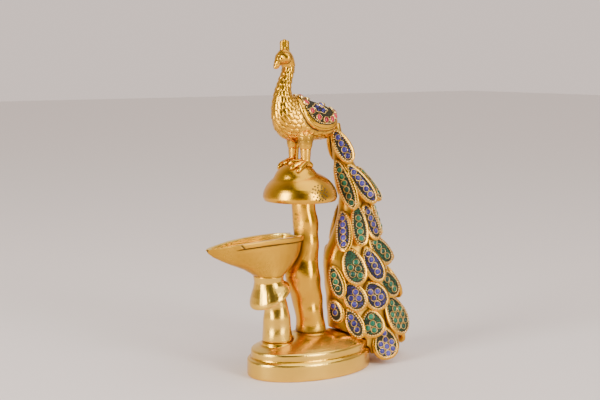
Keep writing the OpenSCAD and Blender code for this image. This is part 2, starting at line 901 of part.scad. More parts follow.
// Stones on the saddle: one ring along its border, and a flower on the ridge
saddle_stones = 18;
saddle_ring = 0.74;
flower_ring = 0.3;
function saddle_frame(radius, turn) =
    let (
        off = saddle_t + mastic_h,
        o = saddle_point(radius, turn, off),
        ex = unit(saddle_point(radius, turn + 3, off) - saddle_point(radius, turn - 3, off)),
        out = unit(saddle_point(radius + 0.05, turn, off) - saddle_point(radius - 0.05, turn, off)),
        n = unit(cross(out, ex)),
        u = n * (saddle_point(radius, turn, off + 1) - o) > 0 ? n : -n
    )
    [o, ex, cross(u, ex), u];
red_frames = [
    for (k = [0 : saddle_stones - 1])
        saddle_frame(saddle_ring, 360 * (k + 0.5) / saddle_stones)
];
flower_frames = [for (k = [0 : 3]) saddle_frame(flower_ring, 90 * k)];

module set_on(frames) {
    for (fr = frames)
        in_frame(fr) children();
}

module feather_stones(colour) {
    for (f = feathers)
        if (f[5] == colour) {
            fr = feather_frame(f);
            both_flanks(f, fr)
                for (q = stone_places(f[2], f[3]))
                    translate([q[0], q[1], 0]) stone();
        }
}

module blue_stones() {
    color("mediumblue") {
        feather_stones("blue");
        set_on(flower_frames) stone();
    }
}

module green_stones() {
    color("seagreen") feather_stones("green");
}

module red_stones() {
    color("crimson") set_on(red_frames) stone();
}

module bezel_rings() {
    color("khaki") {
        for (f = feathers) {
            fr = feather_frame(f);
            both_flanks(f, fr)
                for (q = stone_places(f[2], f[3]))
                    translate([q[0], q[1], 0]) bezel();
        }
        set_on(concat(red_frames, flower_frames)) bezel();
    }
}

module beaded_wires() {
    color("khaki")
        for (f = feathers) {
            fr = feather_frame(f);
            both_flanks(f, fr) wire_loop(f[2], f[3]);
        }
}

module mastic_beds() {
    color("darkolivegreen")
        for (f = feathers) {
            fr = feather_frame(f);
            both_flanks(f, fr) mastic_bed(f[2], f[3]);
        }
}

module saddle_mastic() {
    low = saddle_t + 2 * solder_gap;
    high = saddle_t + mastic_h - solder_gap;
    color("darkolivegreen") saddle_patch(saddle_steps - 1, low, high);
}

// Fixings

nut_r = rod_d * 0.96;
module tie_rod(x, top) {
    translate([x, 0, boss_z - washer_t - nut_h - rod_tail])
        cylinder(d = rod_d, h = top - (boss_z - washer_t - nut_h - rod_tail));
}

module stalk_tie_rod() {
    color("darkgoldenrod") tie_rod(rod_x, stalk_top_z + rod_grip);
}

module diya_tie_rod() {
    color("darkgoldenrod") tie_rod(diya_rod_x, bowl_z + rod_grip - 2.5);
}

module train_screw() {
    head_h = 3.2;
    color("darkgoldenrod")
        translate([train_seat_x, 0, boss_z - washer_t]) {
            cylinder(d = screw_d, h = base_top + screw_grip - 0.5 - boss_z + washer_t);
            translate([0, 0, -head_h]) cylinder(d = 1.8 * screw_d, h = head_h);
        }
}

module fixing_nuts() {
    color("darkgoldenrod")
        for (x = [rod_x, diya_rod_x])
            translate([x, 0, boss_z - washer_t - nut_h])
                difference() {
                    cylinder(r = nut_r, h = nut_h, $fn = 6);
                    translate([0, 0, -1]) cylinder(d = rod_d + 2 * peg_play, h = nut_h + 2);
                }
}

module fixing_washers() {
    color("darkgoldenrod")
        for (place = [[rod_x, rod_d], [diya_rod_x, rod_d], [train_seat_x, screw_d]])
            translate([place[0], 0, boss_z - washer_t])
                difference() {
                    cylinder(d = 2.1 * place[1], h = washer_t);
                    translate([0, 0, -1]) cylinder(d = place[1] + hole_play, h = washer_t + 2);
                }
}

// Nodes

function feather_name(k) = str("feather_", k < 9 ? "0" : "", k + 1);

base_plinth();
mushroom_stalk();
mushroom_cap();
small_stalk();
small_cap();
diya_bowl();
peacock_body();
crest();
left_leg();
right_leg();
saddle_plate();
saddle_mastic();
train_core();
stalk_tie_rod();
diya_tie_rod();
train_screw();
fixing_nuts();
fixing_washers();
blue_stones();
green_stones();
red_stones();
bezel_rings();
beaded_wires();
mastic_beds();
for (k = [0 : len(feathers) - 1])
    feather(k);
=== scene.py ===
"""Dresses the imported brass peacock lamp: smooth castings with patina, neck scales, beaded borders,
set stones, soft studio light and the photograph's camera."""

import math

import bmesh
import bpy
import numpy as np
from mathutils import Matrix, Vector, geometry, noise
from mathutils.bvhtree import BVHTree


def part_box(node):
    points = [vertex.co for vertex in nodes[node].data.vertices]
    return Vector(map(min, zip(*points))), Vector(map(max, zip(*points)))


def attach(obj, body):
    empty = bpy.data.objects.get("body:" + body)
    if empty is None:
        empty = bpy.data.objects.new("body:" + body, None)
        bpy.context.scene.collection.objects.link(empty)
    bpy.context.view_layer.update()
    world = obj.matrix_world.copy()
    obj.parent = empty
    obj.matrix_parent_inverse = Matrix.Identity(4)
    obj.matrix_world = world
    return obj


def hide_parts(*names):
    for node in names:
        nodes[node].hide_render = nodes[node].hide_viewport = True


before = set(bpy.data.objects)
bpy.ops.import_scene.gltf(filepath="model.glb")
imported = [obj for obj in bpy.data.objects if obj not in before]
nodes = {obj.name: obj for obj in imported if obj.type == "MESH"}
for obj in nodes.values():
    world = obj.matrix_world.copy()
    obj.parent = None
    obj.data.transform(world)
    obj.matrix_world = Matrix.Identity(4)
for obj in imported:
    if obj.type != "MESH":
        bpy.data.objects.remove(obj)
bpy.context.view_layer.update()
MM = 0.001
BODY = "root"
CAMERA_AT = Vector((-0.59007, -0.79833, 0.26674))
CAMERA_AIM = Vector((-0.006575, 0.004777, 0.146117))
LENS = 70.744
SENSOR = 36.0
IMAGE = (600, 400)
FEATHERS = sorted(name for name in nodes if name.startswith("feather_"))
LEGS = ["left_leg", "right_leg"]


# Shader maths


class Value:
    """A number that varies over a surface; arithmetic on it adds Math nodes."""

    def __init__(self, finish, socket):
        self.finish = finish
        self.socket = socket

    def math(self, operation, left, right):
        node = self.finish.node("ShaderNodeMath", {"operation": operation}, {0: left, 1: right})
        return Value(self.finish, node.outputs[0])

    def __add__(self, other):
        return self.math("ADD", self, other)

    __radd__ = __add__

    def __sub__(self, other):
        return self.math("SUBTRACT", self, other)

    def __rsub__(self, other):
        return self.math("SUBTRACT", other, self)

    def __mul__(self, other):
        return self.math("MULTIPLY", self, other)

    __rmul__ = __mul__

    def clamp(self):
        return self.math("MINIMUM", self.math("MAXIMUM", self, 0.0), 1.0)


class Nodes:
    """Adds nodes to a shader tree."""

    def __init__(self, owner, shader):
        owner.use_nodes = True
        self.tree = owner.node_tree
        self.shader = self.tree.nodes[shader]

    def put(self, socket, value):
        if isinstance(value, Value):
            self.tree.links.new(value.socket, socket)
        elif isinstance(value, bpy.types.NodeSocket):
            self.tree.links.new(value, socket)
        else:
            socket.default_value = value

    def node(self, kind, settings=None, values=None):
        node = self.tree.nodes.new(kind)
        for key, value in (settings or {}).items():
            setattr(node, key, value)
        for key, value in (values or {}).items():
            self.put(node.inputs[key], value)
        return node

    def mix(self, factor, first, second):
        node = self.node("ShaderNodeMix", {"data_type": "RGBA"}, {0: factor, 6: first, 7: second})
        return node.outputs[2]

    def set(self, **values):
        for key, value in values.items():
            self.put(self.shader.inputs[key.replace("_", " ")], value)


class Finish(Nodes):
    """One material on a Principled shader."""

    def __init__(self, name):
        self.material = bpy.data.materials.new(name)
        super().__init__(self.material, "Principled BSDF")

    def attribute(self, name):
        node = self.node("ShaderNodeAttribute", {"attribute_name": name})
        return Value(self, node.outputs["Fac"])

    def noise(self, scale, detail=3.0, rough=0.55):
        place = self.node("ShaderNodeTexCoord").outputs["Object"]
        values = {"Vector": place, "Scale": scale, "Detail": detail, "Roughness": rough}
        node = self.node("ShaderNodeTexNoise", None, values)
        return Value(self, node.outputs["Fac"])

    def bump(self, height, strength, distance):
        values = {"Height": height, "Strength": strength, "Distance": distance}
        node = self.node("ShaderNodeBump", None, values)
        self.put(self.shader.inputs["Normal"], node.outputs["Normal"])


def colour(red, green, blue):
    return (red, green, blue, 1.0)


GOLD = colour(0.83, 0.43, 0.022)
GOLD_DEEP = colour(0.64, 0.29, 0.008)
# Lighter gold is painted light; the brown is patina and painted shade
GOLD_PAINTED_LIGHT = colour(0.98, 0.75, 0.17)
PATINA_AND_SHADE = colour(0.050, 0.027, 0.006)


def cast_brass():
    """Satin cast brass: mottled gold with casting grain. The patina attribute browns it where it is
    above zero, as patina with painted shade, and paints it lighter where it is below, as painted light."""
    finish = Finish("cast_brass_satin")
    patina_and_painted_light = finish.attribute("patina_and_painted_light")
    cloud = finish.noise(scale=55.0)
    grain = finish.noise(scale=1400.0, detail=2.0)
    speck = finish.noise(scale=420.0, detail=2.0)
    dark = (patina_and_painted_light * 1.15 + (cloud - 0.5) * 0.25 * patina_and_painted_light + (speck - 0.5) * 0.2 * patina_and_painted_light).clamp()
    mottled = finish.mix((cloud * 1.6 - 0.45).clamp(), GOLD, GOLD_DEEP)
    gold = finish.mix((patina_and_painted_light * -1.0).clamp(), mottled, GOLD_PAINTED_LIGHT)
    finish.set(Base_Color=finish.mix(dark, gold, PATINA_AND_SHADE))
    finish.set(Metallic=1.0 - dark * 0.3)
    finish.set(Roughness=0.24 + (cloud - 0.5) * 0.12 + dark * 0.25)
    finish.bump(grain * 0.5 + cloud * 0.5, strength=0.25, distance=0.4 * MM)
    return finish.material


def bright_brass():
    """Beads and bezels, worn bright, with a little dirt between them."""
    finish = Finish("wire_brass_worn")
    cloud = finish.noise(scale=160.0)
    gold = finish.mix((cloud * 2.0 - 0.7).clamp(), colour(0.92, 0.66, 0.25), colour(0.66, 0.36, 0.06))
    finish.set(Base_Color=gold, Metallic=1.0)
    finish.set(Roughness=0.22 + cloud * 0.14)
    finish.bump(finish.noise(scale=1800.0, detail=2.0), strength=0.2, distance=0.3 * MM)
    return finish.material


def dull_brass():
    """Turned fixings under the base."""
    finish = Finish("fixing_brass_dull")
    cloud = finish.noise(scale=220.0)
    finish.set(Base_Color=finish.mix(cloud, colour(0.58, 0.37, 0.12), colour(0.34, 0.2, 0.06)))
    finish.set(Metallic=1.0)
    finish.set(Roughness=0.38 + cloud * 0.15)
    finish.bump(finish.noise(scale=2400.0, detail=2.0), strength=0.2, distance=0.2 * MM)
    return finish.material


def stone(name, deep, pale):
    """Cloudy polished stone: each one a little lighter or darker, with veins."""
    finish = Finish(name)
    tint = finish.attribute("tint")
    vein = finish.noise(scale=520.0, detail=4.0, rough=0.65)
    light = (tint * 0.75 + (vein - 0.5) * 1.3).clamp()
    finish.set(Base_Color=finish.mix(light, deep, pale))
    finish.set(Roughness=0.16 + vein * 0.2, IOR=1.42)
    finish.bump(vein, strength=0.2, distance=0.3 * MM)
    return finish.material


def punched_brass():
    """Bottom of a punch mark, nearly black."""
    finish = Finish("punch_mark_brown")
    grit = finish.noise(scale=900.0)
    finish.set(Base_Color=finish.mix(grit, colour(0.020, 0.011, 0.003), colour(0.060, 0.034, 0.008)))
    finish.set(Roughness=0.6 + grit * 0.2)
    return finish.material


def mastic():
    """Dark resin mastic with grains of stone dust in it."""
    finish = Finish("setting_mastic")
    grit = finish.noise(scale=900.0, detail=4.0, rough=0.7)
    patch = finish.noise(scale=130.0)
    base = finish.mix(patch, colour(0.014, 0.011, 0.005), colour(0.036, 0.032, 0.014))
    finish.set(Base_Color=finish.mix((grit * 4.0 - 2.35).clamp(), base, colour(0.13, 0.10, 0.04)))
    finish.set(Roughness=0.7 + grit * 0.2, IOR=1.3)
    finish.bump(grit, strength=0.6, distance=0.6 * MM)
    return finish.material


BRASS = cast_brass()
BRIGHT = bright_brass()
DULL = dull_brass()
PUNCHED = punched_brass()
MASTIC = mastic()
SLOTS = {"blue_stones": "stone_blue", "green_stones": "stone_green", "red_stones": "stone_red"}
STONES = {
    "blue_stones": stone("stone_blue_cloudy", colour(0.010, 0.006, 0.075), colour(0.075, 0.058, 0.36)),
    "green_stones": stone("stone_green_cloudy", colour(0.001, 0.028, 0.013), colour(0.012, 0.20, 0.090)),
    "red_stones": stone("stone_red_cloudy", colour(0.22, 0.003, 0.010), colour(0.74, 0.030, 0.060)),
}


# Mesh helpers

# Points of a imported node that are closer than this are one
WELD = 0.01 * MM


def add_object(name, data):
    """Puts an object into the scene."""
    thing = bpy.data.objects.new(name, data)
    bpy.context.scene.collection.objects.link(thing)
    return thing


def applied(holder, name):
    """The mesh that an object's modifiers or bevel give; the object itself goes."""
    ready = holder.evaluated_get(bpy.context.evaluated_depsgraph_get())
    mesh = bpy.data.meshes.new_from_object(ready)
    mesh.name = name
    bpy.data.objects.remove(holder)
    return mesh


def merged(node):
    """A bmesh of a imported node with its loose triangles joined."""
    work = bmesh.new()
    work.from_mesh(nodes[node].data)
    bmesh.ops.remove_doubles(work, verts=work.verts, dist=WELD)
    return work


def surface(node):
    """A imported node's surface, to find places on."""
    work = merged(node)
    tree = BVHTree.FromBMesh(work)
    work.free()
    return tree


def islands(node):
    """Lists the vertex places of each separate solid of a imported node."""
    work = merged(node)
    left = set(work.verts)
    found = []
    for start in work.verts:
        if start not in left:
            continue
        left.remove(start)
        stack = [start]
        group = []
        while stack:
            vert = stack.pop()
            group.append(vert.co[:])
            for edge in vert.link_edges:
                other = edge.other_vert(vert)
                if other in left:
                    left.remove(other)
                    stack.append(other)
        found.append(np.array(sorted(group)))
    work.free()
    return found


def add_piece(name, mesh, material, slot, *replaced):
    """Makes a mesh a piece of the lamp, in place of the nodes it stands for."""
    piece = add_object(name, mesh)
    mesh.materials.clear()
    mesh.materials.append(material)
    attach(piece, BODY)
    if replaced:
        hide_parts(*replaced)
    return piece


def places(mesh, kind="co"):
    """Where a mesh's vertices are, or which way they face."""
    flat = np.zeros(len(mesh.vertices) * 3)
    mesh.vertices.foreach_get(kind, flat)
    return flat.reshape(-1, 3)


def move_to(mesh, points):
    mesh.vertices.foreach_set("co", np.ascontiguousarray(points, dtype=np.float32).ravel())
    mesh.update()


def relax(mesh, rounds, above=-1.0):
    """Evens out a mesh's surface, above a height."""
    work = bmesh.new()
    work.from_mesh(mesh)
    soft = [vert for vert in work.verts if vert.co.z > above]
    for _ in range(rounds):
        bmesh.ops.smooth_vert(
            work, verts=soft, factor=0.5, use_axis_x=True, use_axis_y=True, use_axis_z=True
        )
    work.to_mesh(mesh)
    work.free()


def skin(node, voxel, rounds, swell=0.0):
    """A smooth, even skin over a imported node, swollen a little where smoothing thinned it."""
    work = merged(node)
    rough = bpy.data.meshes.new(node + "_rough")
    work.to_mesh(rough)
    work.free()
    holder = add_object(node + "_rough", rough)
    remesh = holder.modifiers.new("skin", "REMESH")
    remesh.mode = "VOXEL"
    remesh.voxel_size = voxel
    mesh = applied(holder, node + "_cast")
    relax(mesh, rounds)
    move_to(mesh, places(mesh) + places(mesh, "normal") * swell)
    mesh.shade_smooth()
    return mesh


def spread(mesh, field, rounds):
    """Averages a field over each vertex's neighbours."""
    pairs = np.zeros(len(mesh.edges) * 2, dtype=np.int64)
    mesh.edges.foreach_get("vertices", pairs)
    a, b = pairs.reshape(-1, 2).T
    count = np.bincount(a, minlength=len(field)) + np.bincount(b, minlength=len(field))
    for _ in range(rounds):
        total = np.bincount(a, field[b], len(field)) + np.bincount(b, field[a], len(field))
        field = 0.5 * field + 0.5 * total / np.maximum(count, 1)
    return field


def hollows(mesh, rounds):
    """How hollow the surface is at each vertex, in metres of sag."""
    here = places(mesh)
    around = np.stack([spread(mesh, here[:, k], rounds) for k in range(3)], axis=1)
    return ((around - here) * places(mesh, "normal")).sum(axis=1)


def nearness(mesh, others, reach):
    """1 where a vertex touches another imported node, falling to 0 at a reach."""
    near = np.zeros(len(mesh.vertices))
    points = places(mesh)
    for other in others:
        tree = surface(other)
        low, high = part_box(other)
        close = ((points > np.array(low) - reach) & (points < np.array(high) + reach)).all(axis=1)
        for index in np.nonzero(close)[0]:
            gap = tree.find_nearest(Vector(points[index]), reach)[3]
            if gap is not None:
                near[index] = max(near[index], 1.0 - gap / reach)
    return near


def ramp(values, low, high):
    """A smooth rise from 0 at the low value to 1 at the high one."""
    t = np.clip((values - low) / (high - low), 0, 1)
    return t * t * (3 - 2 * t)


def bell(gaps, width):
    """1 at no gap, falling off softly over a width."""
    return np.exp(-((gaps / width) ** 2))


def segment_gap(points, start, end):
    """Distance of points, taken on the near flank, from a straight line between two points."""
    flank = points * (1, 0, 1) - np.abs(points) * (0, 1, 0)
    run = end - start
    share = np.clip((flank - start) @ run / (run @ run), 0, 1)
    return np.linalg.norm(flank - start - share[:, None] * run, axis=1)


def stain_and_painted_light(mesh, field):
    """Stores where the brass is browned by patina, spots and painted shade, and where painted light
    makes it lighter.
    """
    layer = mesh.attributes.new("patina_and_painted_light", "FLOAT", "POINT")
    layer.data.foreach_set("value", np.clip(field, -1.0, 1.0).astype(np.float32))


def lumps(mesh, size, height):
    """Pushes a surface in and out by soft noise, as hand-finished castings are."""
    points = places(mesh)
    push = np.array([noise.noise(Vector(p) / size) for p in points])
    move_to(mesh, points + places(mesh, "normal") * (push * height)[:, None])


def seen_at(x, y, node):
    """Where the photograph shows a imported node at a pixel: the place and the way it faces."""
    focal = LENS / SENSOR * IMAGE[0]
    turn = (CAMERA_AIM - CAMERA_AT).to_track_quat("-Z", "Y")
    way = turn @ Vector(((x - IMAGE[0] / 2) / focal, (IMAGE[1] / 2 - y) / focal, -1))
    hit = surface(node).ray_cast(CAMERA_AT, way.normalized())
    return np.array(hit[0]), np.array(hit[1])


# Castings

# Sag of the surface, as a share of the skin's grain, that fills with patina, rounds that find it,
# and the stain where castings touch, which is patina with painted shade between the parts
HOLLOW_SHARE = 0.25
HOLLOW_ROUNDS = 6
CONTACT_STAIN_AND_SHADE = 0.75


def finish_casting(node, mesh, grain, neighbours=(), reach=2.5 * MM, painted_light_and_stain=0.0):
    """Browns a skin's hollows with patina and its contacts with patina and painted shade, adds the
    painted light, shade or marks it is given, and puts it in place of its node.
    """
    field = np.clip(hollows(mesh, HOLLOW_ROUNDS) / (HOLLOW_SHARE * grain), 0, 1)
    if neighbours:
        field = np.maximum(field, CONTACT_STAIN_AND_SHADE * nearness(mesh, neighbours, reach))
    stain_and_painted_light(mesh, field - painted_light_and_stain)
    return add_piece(node + "_cast", mesh, BRASS, "cast_brass", node)


# Painted light: how much lighter the base is painted all over, and how much more where it faces up
BASE_PAINTED_LIGHT = 0.35
BASE_TOP_PAINTED_LIGHT = 0.2
FACES_UP = (0.7, 0.95)


def base():
    mesh = skin("base_plinth", voxel=0.8 * MM, rounds=3)
    # Painted light, strongest on the faces that look up
    painted_light_and_shade = BASE_PAINTED_LIGHT + BASE_TOP_PAINTED_LIGHT * ramp(places(mesh, "normal")[:, 2], *FACES_UP)
    near = ["mushroom_stalk", "small_stalk", "train_core"]
    finish_casting("base_plinth", mesh, 1.2 * MM, near, reach=3 * MM, painted_light_and_stain=painted_light_and_shade)


# Brown spots on the front of the large stalk, from the bowl upwards
SPOT_SIZE = 2.2 * MM
SPOT_EDGE = (0.2, 0.6)
SPOT_STAIN = 0.55
SPOTS_ABOVE = (0.105, 0.125)
SPOTS_BEFORE = (8 * MM, 14 * MM)

# Height on the large cap where its mound begins, and rounds that blend the mound in
MOUND_FROM = 12 * MM
MOUND_ROUNDS = 26


def large_mushroom():
    stalk = skin("mushroom_stalk", voxel=0.8 * MM, rounds=8)
    lumps(stalk, size=13 * MM, height=1.3 * MM)
    points = places(stalk)
    spots = np.array([noise.noise(Vector(point) / SPOT_SIZE) for point in points])
    front = ramp(points[:, 2], *SPOTS_ABOVE) * ramp(-points[:, 0], *SPOTS_BEFORE)
    brown = SPOT_STAIN * front * ramp(spots, *SPOT_EDGE)
    # Patina where the caps, bowl and base touch, and over the wide reach painted shade under the bowl
    # and caps
    near = ["mushroom_cap", "diya_bowl", "base_plinth", "small_cap"]
    finish_casting("mushroom_stalk", stalk, 0.8 * MM, near, reach=6 * MM, painted_light_and_stain=-brown)
    cap = skin("mushroom_cap", voxel=0.6 * MM, rounds=3)
    relax(cap, MOUND_ROUNDS, above=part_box("mushroom_cap")[0][2] + MOUND_FROM)
    finish_casting("mushroom_cap", cap, 0.8 * MM, LEGS + ["train_core"])


# Painted light: how much lighter the small mushroom is painted
SMALL_PAINTED_LIGHT = 0.3


def small_mushroom():
    stalk = skin("small_stalk", voxel=0.6 * MM, rounds=8)
    lumps(stalk, size=12 * MM, height=1.2 * MM)
    near = ["small_cap", "base_plinth"]
    finish_casting("small_stalk", stalk, 0.6 * MM, near, reach=2 * MM, painted_light_and_stain=SMALL_PAINTED_LIGHT)
    cap = skin("small_cap", voxel=0.5 * MM, rounds=3)
    near = ["diya_bowl", "small_stalk"]
    finish_casting("small_cap", cap, 0.6 * MM, near, reach=1.2 * MM, painted_light_and_stain=SMALL_PAINTED_LIGHT)


# How much of the spout's point is filed off, and the front end of the rim band in the photograph
SPOUT_BLUNT = 1.2 * MM
BAND_END = [(241.6, 246.0), (244.6, 248.8)]

# Lines round the band's end and behind the filed edge: their widths, depth and stain
BAND_LINE = 0.6 * MM
SPOUT_LINE = 0.5 * MM
SPOUT_LINE_IN = 0.4 * MM
SPOUT_LINE_STAIN = 0.8
LINE_DEPTH = 0.5 * MM

# Painted shade that browns the bowl outside, and painted light that makes it lighter inside
BOWL_SHADE = 0.2
BOWL_INSIDE_PAINTED_LIGHT = 2.0


def bowl():
    """The bowl, painted lighter inside as painted light and browner outside as painted shade, with dark
    lines at its rim band's end and at the spout.
    """
    mesh = skin("diya_bowl", voxel=0.4 * MM, rounds=2)
    points = places(mesh)
    normals = places(mesh, "normal")
    low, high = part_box("diya_bowl")
    inward = (np.array(low) + np.array(high)) / 2 * (1, 1, 0) + np.array((0, 0, high[2])) - points
    pale = ramp((inward * normals).sum(axis=1), -1 * MM, 1 * MM)
    spout = low[0] + SPOUT_BLUNT
    end_edge = bell(points[:, 0] - spout - SPOUT_LINE_IN, SPOUT_LINE) * (1 - pale)
    line = SPOUT_LINE_STAIN * end_edge
    corners = [seen_at(*place, "diya_bowl")[0] for place in BAND_END]
    for start, end in zip(corners, corners[1:]):
        line = np.maximum(line, bell(segment_gap(points, start, end), BAND_LINE))
    points = points - normals * (LINE_DEPTH * line)[:, None]
    points[:, 0] = np.maximum(points[:, 0], spout)
    move_to(mesh, points)
    # Painted light inside and painted shade outside, with the dark lines taken off
    painted_light_and_shade = BOWL_INSIDE_PAINTED_LIGHT * pale - line - BOWL_SHADE * (1 - pale)
    finish_casting("diya_bowl", mesh, 0.22 * MM, ["mushroom_stalk"], reach=4 * MM, painted_light_and_stain=painted_light_and_shade)


# Place along the crest that its plumes are drawn towards, how far, and how far below the top they
# are fully drawn in
CREST_FRONT = 0.35
CREST_SQUEEZE = 0.28
CREST_TOP = 2 * MM


def crest():
    """Three plumes, drawn together towards the top."""
    mesh = skin("crest", voxel=0.25 * MM, rounds=8, swell=0.4 * MM)
    points = places(mesh)
    low, high = points.min(axis=0), points.max(axis=0)
    front = low[0] + CREST_FRONT * (high[0] - low[0])
    squeeze = 1 - CREST_SQUEEZE * ramp(points[:, 2], low[2], high[2] - CREST_TOP)
    points[:, 0] = front + (points[:, 0] - front) * squeeze
    points[:, 1] = points[:, 1] * squeeze
    move_to(mesh, points)
    finish_casting("crest", mesh, 0.25 * MM, ["peacock_body"], reach=1 * MM)


# Swelling of the legs, length of the peg inside the thigh, and how far the thighs swell round it
LEG_SWELL = 1.1 * MM
LEG_PEG = 6 * MM
THIGH_SWELL = 1.15 * LEG_SWELL
THIGH_ROUND = (5.5 * MM, 9 * MM)
THIGH_HEIGHT = 14 * MM


def legs():
    for leg in LEGS:
        mesh = skin(leg, voxel=0.35 * MM, rounds=9, swell=LEG_SWELL)
        finish_casting(leg, mesh, 0.4 * MM, ["mushroom_cap"], reach=1 * MM)


def thighs(points):
    """How near points are to the knees, where the thighs swell to meet the legs."""
    field = np.zeros(len(points))
    for leg in LEGS:
        work = merged(leg)
        solid = np.array([v.co[:] for v in work.verts])
        work.free()
        top = solid[:, 2].max()
        peg = solid[solid[:, 2] > top - 1 * MM].mean(axis=0)
        away = np.hypot(points[:, 0] - peg[0], points[:, 1] - peg[1])
        height = points[:, 2] - top + LEG_PEG
        reach = (1 - ramp(away, *THIGH_ROUND)) * (1 - ramp(height, 0, THIGH_HEIGHT))
        field = np.maximum(field, reach)
    return field


# Radius of the saddle's border, and the turn between faces that makes an edge a rim
SADDLE_BORDER_R = 2.0 * MM
RIM_ANGLE = math.radians(50)


def tube(name, loop, radius):
    """A round wire along a closed loop of points."""
    path = bpy.data.curves.new(name, "CURVE")
    path.dimensions = "3D"
    path.bevel_depth = radius
    path.bevel_resolution = 4
    line = path.splines.new("POLY")
    line.points.add(len(loop) - 1)
    weighted = np.hstack([loop, np.ones((len(loop), 1))])
    line.points.foreach_set("co", weighted.astype(np.float32).ravel())
    line.use_cyclic_u = True
    mesh = applied(add_object(name, path), name)
    mesh.shade_smooth()
    return mesh


def rim_loops(work):
    """Closed loops of a solid's sharp edges."""
    sharp = [e for e in work.edges if len(e.link_faces) == 2 and e.calc_face_angle() > RIM_ANGLE]
    links = {}
    for edge in sharp:
        a, b = edge.verts
        links.setdefault(a, []).append(b)
        links.setdefault(b, []).append(a)
    loops = []
    left = set(links)
    for start in links:
        if start not in left:
            continue
        left.remove(start)
        loop = [start]
        while True:
            onward = [v for v in links[loop[-1]] if v in left]
            if not onward:
                break
            loop.append(onward[0])
            left.remove(onward[0])
        loops.append(np.array([v.co[:] for v in loop]))
    return loops


def widest_rim(node):
    """The longest sharp rim of a thin node, as a smooth closed loop."""
    work = merged(node)
    rim = max(rim_loops(work), key=len)
    work.free()
    closed = np.vstack([rim[-1:], rim, rim[:1]])
    return 0.25 * closed[:-2] + 0.5 * closed[1:-1] + 0.25 * closed[2:]


def saddle():
    """The saddle plate with a thick rounded border."""
    plate = skin("saddle_plate", voxel=0.45 * MM, rounds=5, swell=0.25 * MM)
    finish_casting("saddle_plate", plate, 0.45 * MM, ["peacock_body"], reach=1 * MM)
    border = tube("saddle_border", widest_rim("saddle_plate"), SADDLE_BORDER_R)
    # Browns the border where it meets the body: patina with painted shade
    stain_and_painted_light(border, nearness(border, ["peacock_body"], reach=1 * MM))
    add_piece("saddle_border", border, BRASS, "cast_brass")


base()
large_mushroom()
small_mushroom()
bowl()
crest()
legs()
saddle()


# Peacock's skin

# Middle line of the bird from the rump to the head, (x, z) in millimetres
SPINE = [
    (25, 212), (8, 212), (-6, 213), (-17, 215.5), (-24.5, 219), (-28, 225), (-29, 232),
    (-27.8, 239), (-25.6, 246), (-22.8, 253), (-22, 259), (-24, 264.5), (-28, 267),
]
SPINE_STEPS = 10

# Space between rows of scales, width and rise of a scale, share of the rise that is sunk in, and how
# many rows a scale covers
SCALE_LONG = 4.3 * MM
SCALE_WIDE = 4.5 * MM
SCALE_RISE = 1.0 * MM
SCALE_SINK = 0.35
SCALE_ROWS = 1.5

# Where the neck's scales begin and end along the spine, where the belly's fainter ones begin along
# it and round it, and the height under which there are none
NECK_FROM = (34 * MM, 46 * MM)
NECK_TO = (92 * MM, 97 * MM)
BELLY_FROM = (8 * MM, 16 * MM)
BELLY_TURN = (1.5, 2.0)
BELLY_SCALES = 0.55
SCALES_ABOVE = (0.192, 0.198)


def smooth_path(points, steps):
    """Points of a Catmull-Rom curve through a list of points."""
    padded = [points[0]] + list(points) + [points[-1]]
    curve = []
    for k in range(len(points) - 1):
        p0, p1, p2, p3 = (np.array(q, dtype=float) for q in padded[k : k + 4])
        for step in range(steps):
            t = step / steps
            curve.append(
                0.5 * (2 * p1 + (p2 - p0) * t + (2 * p0 - 5 * p1 + 4 * p2 - p3) * t**2
                       + (3 * p1 - p0 - 3 * p2 + p3) * t**3)
            )
    return np.array(curve)


def along_spine(points):
    """Distance along the spine, arc from the middle of the flank, and turn from the back."""
    path = smooth_path(SPINE, SPINE_STEPS) * MM
    tangent = np.gradient(path, axis=0)
    tangent /= np.linalg.norm(tangent, axis=1)[:, None]
    length = np.concatenate([[0], np.cumsum(np.linalg.norm(np.diff(path, axis=0), axis=1))])
    flat = points[:, [0, 2]]
    near = ((flat[:, None, :] - path[None]) ** 2).sum(axis=2).argmin(axis=1)
    gap = flat - path[near]
    s = length[near] + (gap * tangent[near]).sum(axis=1)
    back = np.stack([-tangent[near][:, 1], tangent[near][:, 0]], axis=1)
    rise = -(gap * back).sum(axis=1)
    turn = np.abs(np.arctan2(points[:, 1], rise))
    radius = np.hypot(points[:, 1], rise)
    return s, (turn - math.pi / 2) * radius, turn


def scale_height(s, t):
    """Height of overlapping scales, tips towards the tail, from 0 to 1."""
    height = np.zeros(len(s))
    first = np.ceil(s / SCALE_LONG)
    for step in (0, 1):
        row = first + step
        reach = (row * SCALE_LONG - s) / (SCALE_ROWS * SCALE_LONG)
        offset = 0.5 * (row % 2)
        across = t / SCALE_WIDE - offset
        across = (across - np.round(across)) * 2
        narrow = np.clip((reach - 0.4) / 0.6, 0, 1)
        covered = np.abs(across) < 1.02 * np.sqrt(1 - narrow**2)
        height = np.maximum(height, np.where(covered, 0.15 + 0.85 * reach - 0.35 * across**2, 0))
    return height


# Places of the cheek and of the beak's line in the photograph, and sizes of the cheek and the lines
CHEEK_AT = (285.6, 58.2)
CHEEK_R = 5.2 * MM
CHEEK_RISE = 0.9 * MM
CHEEK_RING = 0.6 * MM
CHEEK_RING_OUT = 0.4 * MM
BEAK_LINE = [(274.8, 65.0), (280.0, 61.5)]
BEAK_LINE_WIDE = 0.45 * MM
HEAD_LINE_DEPTH = 0.45 * MM


